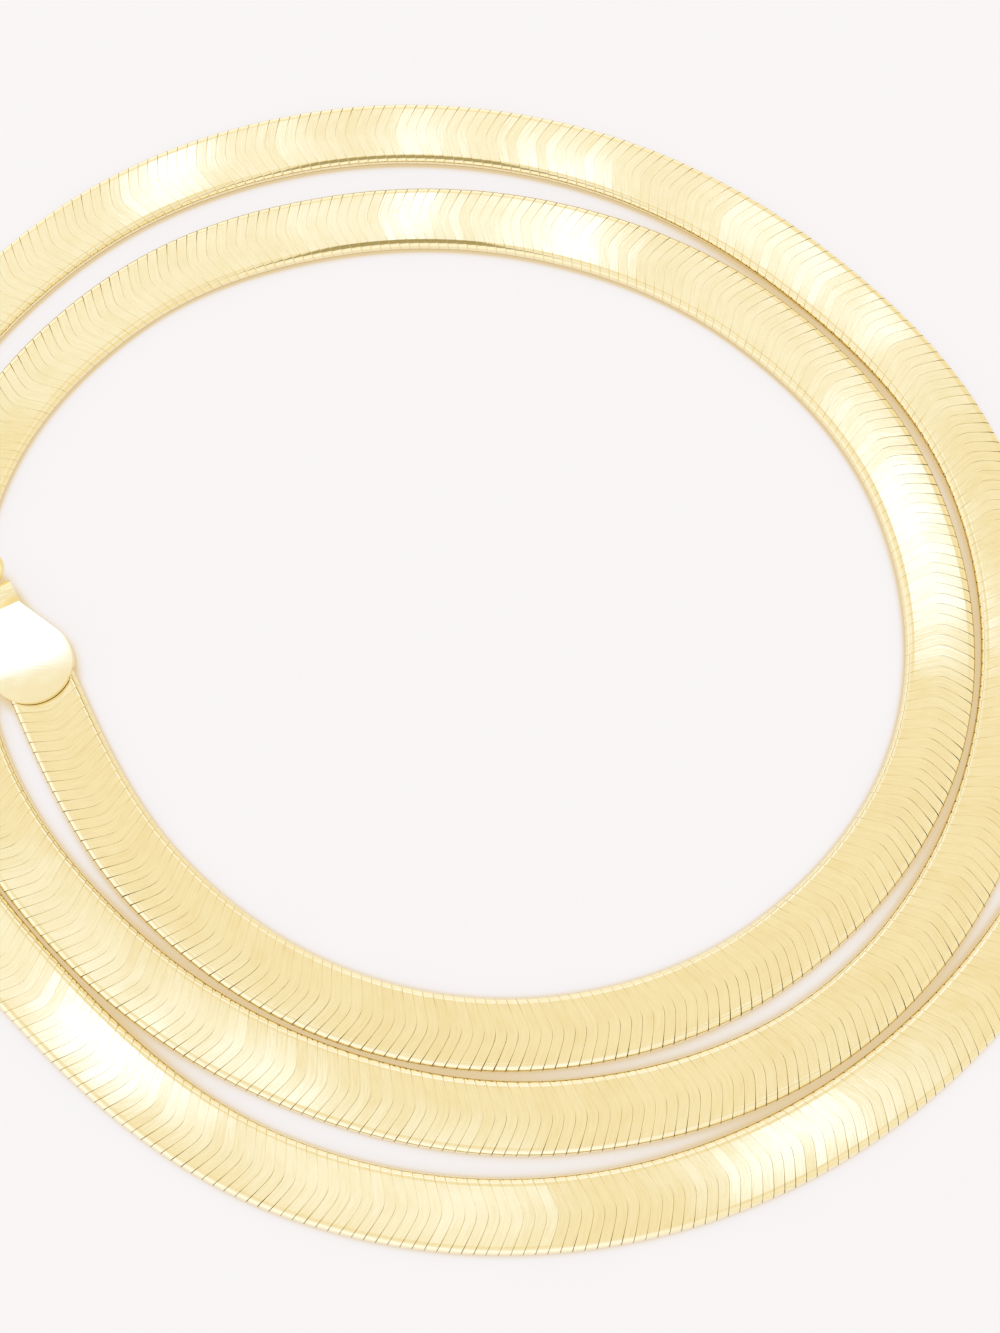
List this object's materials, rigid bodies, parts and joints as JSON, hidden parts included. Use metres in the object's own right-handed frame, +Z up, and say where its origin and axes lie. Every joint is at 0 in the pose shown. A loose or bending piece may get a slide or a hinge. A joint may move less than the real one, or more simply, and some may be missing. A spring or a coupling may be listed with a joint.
{
  "type": "herringbone neck chain, unfastened and laid flat in a spiral",
  "caption": "Flat woven herringbone neck chain lying open in a loose spiral, with a rounded cap and ring at each end and a plain closed clasp.",
  "frame": {"origin": "on the surface that the chain lies on, under the middle of its bounding box", "axes": "+Z up, away from the surface; +Y away from the viewer of the picture, +X to the viewer's right, so the spiral runs counter-clockwise outwards"},
  "size_m": [0.0952, 0.0848, 0.0026],
  "materials": {
    "woven_gold": "woven links of polished yellow gold, soft sheen",
    "polished_gold": "mirror-polished yellow gold"
  },
  "bodies": {
    "root": {"herringbone_band": "woven_gold", "inner_end_cap": "polished_gold", "end_ring": "polished_gold", "outer_end_cap": "polished_gold", "jump_ring": "polished_gold", "clasp": "polished_gold"}
  },
  "joints": []
}
